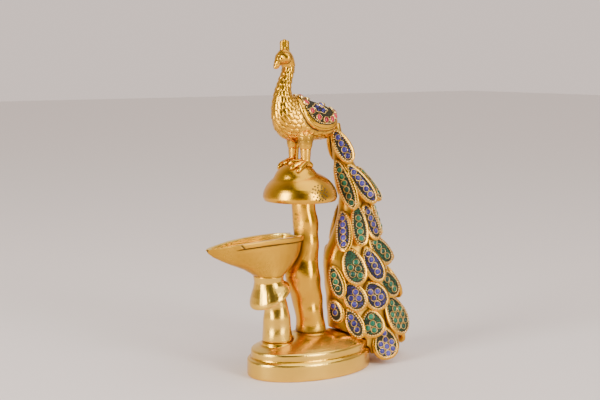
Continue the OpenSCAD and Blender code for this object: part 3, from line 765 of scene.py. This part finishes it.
def head_lines(points):
    """Rise of the round cheeks, and how deep the lines round them and along the beak are."""
    cheek = seen_at(*CHEEK_AT, "peacock_body")[0]
    tip, corner = (seen_at(*place, "peacock_body")[0] for place in BEAK_LINE)
    away = segment_gap(points, cheek, cheek + (0, 0, 0.01 * MM))
    rise = CHEEK_RISE * np.clip(1 - (away / CHEEK_R) ** 2, 0, 1)
    ring = bell(away - CHEEK_R - CHEEK_RING_OUT, CHEEK_RING)
    line = bell(segment_gap(points, tip, corner), BEAK_LINE_WIDE)
    return rise, np.maximum(ring, line)


# Sag between the scales that fills with patina, rounds that find it, stain of the head's lines,
# and painted shade at the knees and round the saddle
SCALE_SAG = 0.14 * MM
SCALE_ROUNDS = 4
HEAD_LINE_STAIN = 0.8
KNEE_SHADE = 2.0
SADDLE_SHADE = (0.1, 0.6)


def peacock_skin():
    """The bird's body with its scales, the lines of its head, and thighs that meet the legs."""
    mesh = skin("peacock_body", voxel=0.42 * MM, rounds=8, swell=0.2 * MM)
    points = places(mesh)
    s, t, turn = along_spine(points)
    cheeks, lines = head_lines(points)
    neck = ramp(s, *NECK_FROM) * (1 - ramp(s, *NECK_TO))
    belly = BELLY_SCALES * ramp(turn, *BELLY_TURN) * ramp(s, *BELLY_FROM)
    strength = np.maximum(neck, belly * (1 - neck)) * ramp(points[:, 2], *SCALES_ABOVE)
    scales = SCALE_RISE * strength * (scale_height(s, t) - SCALE_SINK)
    knees = thighs(points)
    push = scales + cheeks - HEAD_LINE_DEPTH * lines + THIGH_SWELL * knees
    move_to(mesh, points + places(mesh, "normal") * push[:, None])
    relax(mesh, 1)
    field = np.maximum(hollows(mesh, SCALE_ROUNDS) / SCALE_SAG, HEAD_LINE_STAIN * lines)
    # Browns the head where the crest sits: patina with painted shade
    field = np.maximum(field, nearness(mesh, ["crest"], reach=1.2 * MM))
    # Painted shade in a band round the knees, where the thighs meet the legs
    field = np.maximum(field, KNEE_SHADE * knees * (1 - knees))
    # Painted shade on the body round the saddle's border
    by_saddle = nearness(mesh, ["saddle_plate"], reach=4 * MM)
    field = np.maximum(field, ramp(by_saddle, *SADDLE_SHADE))
    stain_and_painted_light(mesh, field)
    mesh.shade_smooth()
    return add_piece("peacock_body_cast", mesh, BRASS, "cast_brass", "peacock_body")


peacock_skin()


# Stones, bezels and beads

# Sizes of a stone, its bezel and the beaded wire; the last value is how far a wire's loop departs
# from an ellipse
STONE_R = 2.55 * MM
STONE_H = 2.2 * MM
BEZEL_H = 1.4 * MM
BEZEL_T = 0.33 * MM
BEZEL_FOOT = 0.1 * MM
BEZEL_LIP = 0.15 * MM
GIRDLE_H = 0.6 * BEZEL_H
DOME_STEPS = 4
STONE_SIDES = 12
BEZEL_SIDES = 14
BEAD_R = 0.8 * MM
BEAD_STEP = 2.2 * MM
WIRE_W = 1.1 * MM
EGG = 0.2

# A ring of a turned shape that is smaller than this is a point
POINT_R = 0.001 * MM


def turned(profile, steps):
    """A shape spun about the upright axis from a list of (radius, height), outside first."""
    work = bmesh.new()
    rings = []
    for radius, height in profile:
        count = steps if radius > POINT_R else 1
        turns = [2 * math.pi * k / steps for k in range(count)]
        ring = [(radius * math.cos(t), radius * math.sin(t), height) for t in turns]
        rings.append([work.verts.new(place) for place in ring])
    for lower, upper in zip(rings, rings[1:]):
        for k in range(steps):
            low_pair = [lower[k % len(lower)], lower[(k + 1) % len(lower)]]
            high_pair = [upper[(k + 1) % len(upper)], upper[k % len(upper)]]
            work.faces.new(list(dict.fromkeys(low_pair + high_pair)))
    return work


def stone_shape():
    """A dome on a short girdle, standing on the origin."""
    profile = [(STONE_R, 0)]
    for step in range(DOME_STEPS + 1):
        t = math.pi / 2 * step / DOME_STEPS
        profile.append((STONE_R * math.cos(t), GIRDLE_H + (STONE_H - GIRDLE_H) * math.sin(t)))
    return turned(profile, STONE_SIDES)


def bezel_shape():
    """A thin ring with a rounded lip, standing on the origin."""
    outer = STONE_R + BEZEL_T
    profile = [
        (outer + BEZEL_FOOT, 0),
        (outer, BEZEL_H),
        (outer - BEZEL_T / 2, BEZEL_H + BEZEL_LIP),
        (outer - BEZEL_T, BEZEL_H),
    ]
    return turned(profile, BEZEL_SIDES)


def ball(radius, fineness):
    """A ball of triangles."""
    work = bmesh.new()
    bmesh.ops.create_icosphere(work, subdivisions=fineness, radius=radius)
    return work


def bead_shape():
    return ball(BEAD_R, fineness=2)


# How far the tint of a stone strays from the middle one
TINT_SPREAD = 0.8


def repeat(name, shape, frames, material, slot, *replaced):
    """One piece made of copies of a shape, each at its own frame; copies get their own tint."""
    work = shape()
    work.verts.index_update()
    pattern = np.array([v.co[:] for v in work.verts])
    faces = [[v.index for v in f.verts] for f in work.faces]
    work.free()
    verts = []
    loops = []
    for k, place in enumerate(frames):
        matrix = np.array(place)
        verts.extend((pattern @ matrix[:3, :3].T + matrix[:3, 3]).tolist())
        loops.extend([[i + k * len(pattern) for i in face] for face in faces])
    mesh = bpy.data.meshes.new(name)
    mesh.from_pydata(verts, [], loops)
    strays = np.array([noise.noise(Vector((k * 3.7, k * 1.3, 0.5))) for k in range(len(frames))])
    tints = np.clip(0.5 + TINT_SPREAD * strays, 0, 1)
    layer = mesh.attributes.new("tint", "FLOAT", "POINT")
    layer.data.foreach_set("value", np.repeat(tints, len(pattern)).astype(np.float32))
    mesh.shade_smooth()
    return add_piece(name, mesh, material, slot, *replaced)


def spread_axes(points):
    """Middle and main directions of a solid's points, from its widest to its thinnest."""
    middle = points.mean(axis=0)
    _, axes = np.linalg.eigh(np.cov((points - middle).T))
    axes = axes * np.sign(axes[np.abs(axes).argmax(axis=0), (0, 1, 2)])
    return middle, axes[:, 2], axes[:, 1], axes[:, 0]


def frame_at(origin, x, z):
    """A frame at a place, with its upright axis along z and its first axis as near x as can be."""
    z = Vector(z).normalized()
    x = Vector(x)
    x = (x - z * x.dot(z)).normalized()
    place = Matrix((x, z.cross(x), z)).transposed().to_4x4()
    place.translation = Vector(origin)
    return place


# A stone that looks up or down more than this is lined up with the lamp's length, any other with
# its height
LOOKS_UP = 0.9


def stone_frame(points):
    """Where a stone's back is, and which way it looks: its top is its narrow end."""
    middle, _, _, axis = spread_axes(points)
    height = (points - middle) @ axis
    radius = np.linalg.norm(points - middle - np.outer(height, axis), axis=1)
    if (height * radius**2).sum() > 0:
        axis = -axis
        height = -height
    upright = (1, 0, 0) if abs(axis[2]) > LOOKS_UP else (0, 0, 1)
    return frame_at(middle + axis * height.min(), upright, axis)


# Width of a stone beside its length: the usual share, how far one strays from it, and how far round
# it is turned
OVAL = 0.93
OVAL_SPREAD = 0.09
OVAL_TURN = 3.0


def oval(place, k):
    """A frame drawn in a little across, so that no two stones are alike."""
    narrow = OVAL + OVAL_SPREAD * noise.noise(Vector((k * 2.3, 4.1, k * 0.7)))
    turn = OVAL_TURN * noise.noise(Vector((k * 1.1, k * 2.9, 7.7)))
    return place @ Matrix.Rotation(turn, 4, "Z") @ Matrix.Diagonal((1, narrow, 1, 1))


settings = []
setting_node = []
for node, finish in STONES.items():
    frames = [oval(stone_frame(points), k) for k, points in enumerate(islands(node))]
    settings.extend(frames)
    setting_node.extend([node] * len(frames))
    repeat(node + "_domed", stone_shape, frames, finish, SLOTS[node], node)
repeat("bezel_rings_lipped", bezel_shape, settings, BRIGHT, "wire_brass", "bezel_rings")
STONE_PLACES = np.array([place.translation[:] for place in settings])
STONE_AXES = np.array([place.col[2][:3] for place in settings])


# Train: the core, and feathers with thick rounded lips outside their borders

# Swelling of a feather, thickness of its lip, and how much a surface faces as the stones do where
# the lip fades out
FEATHER_SWELL = 0.25 * MM
FEATHER_LIP = 0.9 * MM
FACES_LIKE_STONES = (0.5, 0.95)


def thicken_lip(mesh):
    """Swells a feather sideways and backwards, and leaves the face that carries the stones."""
    points = places(mesh)
    normals = places(mesh, "normal")
    apart = (STONE_PLACES**2).sum(axis=1)[None] - 2 * points @ STONE_PLACES.T
    axes = STONE_AXES[apart.argmin(axis=1)]
    facing = (normals * axes).sum(axis=1)
    sideways = normals - axes * np.maximum(facing, 0)[:, None]
    edge = 1 - ramp(facing, *FACES_LIKE_STONES)
    move_to(mesh, points + sideways * (FEATHER_LIP * edge)[:, None])


def train():
    core = skin("train_core", voxel=0.9 * MM, rounds=8)
    lumps(core, size=9 * MM, height=0.5 * MM)
    # Browns the core near the feathers: patina with painted shade between them
    finish_casting("train_core", core, 0.9 * MM, FEATHERS, reach=7 * MM)
    for feather in FEATHERS:
        mesh = skin(feather, voxel=0.45 * MM, rounds=4, swell=FEATHER_SWELL)
        thicken_lip(mesh)
        finish_casting(feather, mesh, 0.45 * MM, ["train_core"])


train()


# Stone chips in the mastic between the bezels

CHIP_STEP = 1.75 * MM
CHIP_R = 0.95 * MM
CHIP_CLEAR = STONE_R + BEZEL_T + 0.55 * MM
BED_EDGE = 0.9 * MM

# Rows and columns to each side of a bed's middle, space between rows as a share of the step, and
# how many stones are looked at
CHIP_ROWS = 14
CHIP_COLUMNS = 16
ROW_SHARE = 0.87
STONES_NEAR = 16

# Seed that makes the chips stray alike in every run, how far a chip strays, turns and sinks in, and
# its length, width and height as shares
CHIP_SEED = 5
CHIP_STRAY = 0.5 * MM
CHIP_TURN = 9 / MM
CHIP_SINK = 0.1 * MM
CHIP_LONG = 0.95
CHIP_WIDE = 0.75
CHIP_HIGH = 0.55


def chip_shape():
    return ball(CHIP_R, fineness=1)


def outline_gap(outline, x, y):
    """Least distance of a point from the sides of a convex outline, below zero outside it."""
    least = math.inf
    for (ax, ay), (bx, by) in zip(outline, outline[1:] + outline[:1]):
        side = ((bx - ax) * (y - ay) - (by - ay) * (x - ax)) / math.hypot(bx - ax, by - ay)
        least = min(least, side)
    return least


def bed_chips(points):
    """Frames of the chips on one mastic bed, and the stones that they are broken from."""
    middle, long_way, _, _ = spread_axes(points)
    close = np.argsort(np.linalg.norm(STONE_PLACES - middle, axis=1))[:STONES_NEAR]
    normal = STONE_AXES[close[0]]
    long_way = long_way - normal * (long_way @ normal)
    long_way /= np.linalg.norm(long_way)
    wide_way = np.cross(normal, long_way)
    flat = np.stack([(points - middle) @ long_way, (points - middle) @ wide_way], axis=1)
    stones_at = STONE_PLACES[close] - middle
    stones = np.stack([stones_at @ long_way, stones_at @ wide_way], axis=1)
    outline = [tuple(flat[k]) for k in geometry.convex_hull_2d([Vector(q) for q in flat])]
    top = ((points - middle) @ normal).max()
    chips = []
    for row in range(-CHIP_ROWS, CHIP_ROWS + 1):
        for column in range(-CHIP_COLUMNS, CHIP_COLUMNS + 1):
            seed = Vector((row * 1.7, column * 1.3, middle[2] * 900))
            jitter = noise.noise_vector(seed) * CHIP_STRAY
            x = (column + 0.5 * (row % 2)) * CHIP_STEP + jitter[0]
            y = row * CHIP_STEP * ROW_SHARE + jitter[1]
            if outline_gap(outline, x, y) < BED_EDGE:
                continue
            if np.hypot(stones[:, 0] - x, stones[:, 1] - y).min() < CHIP_CLEAR:
                continue
            at = middle + long_way * x + wide_way * y + normal * (top - CHIP_SINK)
            turn = Matrix.Rotation(CHIP_TURN * jitter[2], 4, "Z")
            length = CHIP_LONG + 0.5 * jitter[0] / MM
            size = Matrix.Diagonal((length, CHIP_WIDE, CHIP_HIGH, 1))
            chips.append(frame_at(at, long_way, normal) @ turn @ size)
    return setting_node[close[0]], chips


noise.seed_set(CHIP_SEED)
chips = {node: [] for node in STONES}
for points in islands("mastic_beds"):
    node, frames = bed_chips(points)
    chips[node].extend(frames)
for node in ("blue_stones", "green_stones"):
    repeat(node + "_chips", chip_shape, chips[node], STONES[node], SLOTS[node])


# Beaded borders

EGG_POINTS = 120
FEWEST_BEADS = 6


def even_points(loop, step):
    """Points at even steps along a closed loop."""
    closed = np.vstack([loop, loop[:1]])
    run = np.concatenate([[0], np.cumsum(np.linalg.norm(np.diff(closed, axis=0), axis=1))])
    count = max(FEWEST_BEADS, round(run[-1] / step))
    at = np.arange(count) / count * run[-1]
    return np.stack([np.interp(at, run, closed[:, k]) for k in range(3)], axis=1)


def egg_loop(points):
    """Middle line of an egg-shaped wire, seen from the stones it surrounds."""
    middle, long_way, wide_way, _ = spread_axes(points)
    x = (points - middle) @ long_way
    y = (points - middle) @ wide_way
    if np.abs(y[x > 0]).mean() < np.abs(y[x < 0]).mean():
        long_way, x = -long_way, -x
    turns = np.linspace(0, 2 * math.pi, EGG_POINTS, endpoint=False)
    side = np.sin(turns) * (1 + EGG * np.cos(turns))
    length = (x.max() - x.min() - WIRE_W) / 2
    width = ((y.max() - y.min()) / 2 - WIRE_W / 2) / side.max()
    start = middle + long_way * (x.max() + x.min()) / 2
    return start + np.outer(length * np.cos(turns), long_way) + np.outer(width * side, wide_way)


def bead_frames(loop):
    return [Matrix.Translation(Vector(p)) for p in even_points(loop, BEAD_STEP)]


beads = []
for points in islands("beaded_wires"):
    beads.extend(bead_frames(egg_loop(points)))
repeat("beaded_wires_beads", bead_shape, beads, BRIGHT, "wire_brass", "beaded_wires")


# How far the saddle's beads lie inside the mastic's rim, and the height of the point they lean to
BEAD_ROW_IN = 1.2 * MM
BEAD_ROW_LEAN = 30 * MM


def saddle_beads():
    """A row of beads on the mastic, inside the saddle's border."""
    rim = widest_rim("saddle_mastic")
    tree = surface("saddle_mastic")
    top = Vector(rim.mean(axis=0)) + Vector((0, 0, BEAD_ROW_LEAN))
    row = []
    for place in rim:
        inward = (top - Vector(place)).normalized() * BEAD_ROW_IN
        row.append(tree.find_nearest(Vector(place) + inward)[0][:])
    repeat("saddle_beads", bead_shape, bead_frames(np.array(row)), BRIGHT, "wire_brass")


# Blue flower high on each side of the saddle: petals inside a scalloped wire

# Place of the near flower in the photograph, half its length and width, and its wire and petals
FLOWER_AT = (320.0, 108.5)
FLOWER_LONG = 7.2 * MM
FLOWER_WIDE = 4.4 * MM
FLOWER_POINTS = 80
FLOWER_SCALLOP = 0.11
FLOWER_WIRE_R = 0.4 * MM
FLOWER_WIRE_LIFT = 0.3 * MM
PETALS = 6
PETAL_OUT = 0.6
PETAL_SIZE = (2.2, 1.6, 1.0, 1)


def saddle_flowers():
    tree = surface("saddle_mastic")
    near = Vector(seen_at(*FLOWER_AT, "saddle_mastic")[0])
    petals = []
    for flank in (1, -1):
        middle, facing, _, _ = tree.find_nearest(Vector((near.x, flank * near.y, near.z)))
        across = Vector((0, 1, 0)).cross(facing).normalized()
        along = facing.cross(across)
        outline = []
        for k in range(FLOWER_POINTS):
            turn = 2 * math.pi * k / FLOWER_POINTS
            scallop = 1 + FLOWER_SCALLOP * math.cos(PETALS * turn)
            spot = middle + across * math.cos(turn) * FLOWER_LONG * scallop
            spot = spot + along * math.sin(turn) * FLOWER_WIDE * scallop
            place, normal, _, _ = tree.find_nearest(spot)
            outline.append((place + normal * FLOWER_WIRE_LIFT)[:])
        for k in range(PETALS):
            turn = 2 * math.pi * k / PETALS
            out = across * math.cos(turn) * FLOWER_LONG + along * math.sin(turn) * FLOWER_WIDE
            place, normal, _, _ = tree.find_nearest(middle + out * PETAL_OUT)
            petals.append(frame_at(place, out, normal) @ Matrix.Diagonal(PETAL_SIZE))
        name = "saddle_flower_wire_near" if flank > 0 else "saddle_flower_wire_far"
        add_piece(name, tube(name, np.array(outline), FLOWER_WIRE_R), BRIGHT, "wire_brass")
    repeat("saddle_flower_petals", chip_shape, petals, STONES["blue_stones"], SLOTS["blue_stones"])


saddle_flowers()
saddle_beads()


# Punched rosette on the large cap

# Place of its middle in the photograph, radius of each ring of marks in millimetres with how many it
# has, and how far a ring is turned for each millimetre
ROSETTE_AT = (320.6, 193.2)
ROSETTE_RINGS = [(0.0, 1), (3.0, 6), (5.2, 9), (7.4, 13)]
RING_TURN = 0.3
DOT_R = 0.8 * MM
DOT_FLAT = 0.3


def dot_shape():
    work = ball(DOT_R, fineness=2)
    bmesh.ops.scale(work, vec=(1, 1, DOT_FLAT), verts=work.verts)
    return work


def rosette():
    centre, facing = seen_at(*ROSETTE_AT, "mushroom_cap")
    across = np.cross((0, 0, 1), facing)
    across /= np.linalg.norm(across)
    upward = np.cross(facing, across)
    tree = surface("mushroom_cap")
    frames = []
    for ring, count in ROSETTE_RINGS:
        for k in range(count):
            turn = 2 * math.pi * (k + RING_TURN * ring) / count
            out = across * math.cos(turn) + upward * math.sin(turn)
            place, normal, _, _ = tree.find_nearest(Vector(centre + out * ring * MM))
            frames.append(frame_at(place, across, normal))
    repeat("cap_punched_rosette", dot_shape, frames, PUNCHED, "cast_brass")


rosette()


# Carried-over solids

FIXINGS = ["stalk_tie_rod", "diya_tie_rod", "train_screw", "fixing_nuts", "fixing_washers"]
for name in ["mastic_beds", "saddle_mastic"] + FIXINGS:
    nodes[name].data.materials.clear()
    nodes[name].data.materials.append(DULL if name in FIXINGS else MASTIC)


# Stage, light and camera

FLOOR_SIZE = 6.0
FLOOR_PALE = colour(0.80, 0.70, 0.645)
DIM_ROOM = colour(0.060, 0.054, 0.048)
PALE_WALL = colour(0.98, 0.82, 0.75)
WALL_SHARE = 0.35
WALL_FADE = 0.9
LIGHTS_AIM = Vector((0, 0, 0.13))


def floor():
    """A wide pale table top."""
    finish = Finish("studio_paper")
    finish.set(Base_Color=FLOOR_PALE, Roughness=0.8)
    work = bmesh.new()
    bmesh.ops.create_grid(work, x_segments=1, y_segments=1, size=FLOOR_SIZE)
    mesh = bpy.data.meshes.new("floor")
    work.to_mesh(mesh)
    work.free()
    mesh.materials.append(finish.material)
    table = add_object("floor", mesh)


def soft_box(name, azimuth, height, distance, size, power):
    """A rectangular soft light that looks at the middle of the lamp."""
    lamp = bpy.data.lights.new(name, "AREA")
    lamp.shape = "RECTANGLE"
    lamp.size, lamp.size_y = size
    lamp.energy = power
    light = add_object(name, lamp)
    a = math.radians(azimuth)
    light.location = (math.sin(a) * distance, -math.cos(a) * distance, height)
    aim = LIGHTS_AIM - light.location
    light.rotation_euler = aim.to_track_quat("-Z", "Y").to_euler()


def overhead():
    """A broad even light from above, so that the floor stays pale to its far edge."""
    lamp = bpy.data.lights.new("overhead", "SUN")
    lamp.energy = 2.0
    lamp.angle = math.radians(60)
    light = add_object("overhead", lamp)
    light.rotation_euler = (math.radians(20), math.radians(10), 0)


def camera():
    """The photograph's view."""
    lens = bpy.data.cameras.new("camera")
    lens.sensor_width = SENSOR
    lens.lens = LENS
    view = add_object("camera", lens)
    view.location = CAMERA_AT
    view.rotation_euler = (CAMERA_AIM - CAMERA_AT).to_track_quat("-Z", "Y").to_euler()
    bpy.context.scene.camera = view


def surroundings():
    """A pale wall behind the lamp, and a dimmer room on the camera's side."""
    world = bpy.data.worlds.new("studio")
    bpy.context.scene.world = world
    sky = Nodes(world, "Background")
    way = sky.node("ShaderNodeTexCoord").outputs["Generated"]
    ahead = (CAMERA_AIM - CAMERA_AT).normalized()
    facing = sky.node("ShaderNodeVectorMath", {"operation": "DOT_PRODUCT"}, {0: way, 1: ahead})
    share = Value(sky, facing.outputs["Value"]) * WALL_FADE + WALL_SHARE
    sky.set(Color=sky.mix(share.clamp(), DIM_ROOM, PALE_WALL), Strength=1.0)


floor()
surroundings()
soft_box("soft_box_left", azimuth=-84, height=0.62, distance=1.8, size=(0.69, 1.39), power=54)
soft_box("soft_box_right", azimuth=10, height=0.57, distance=1.8, size=(0.56, 1.39), power=38)
overhead()
camera()
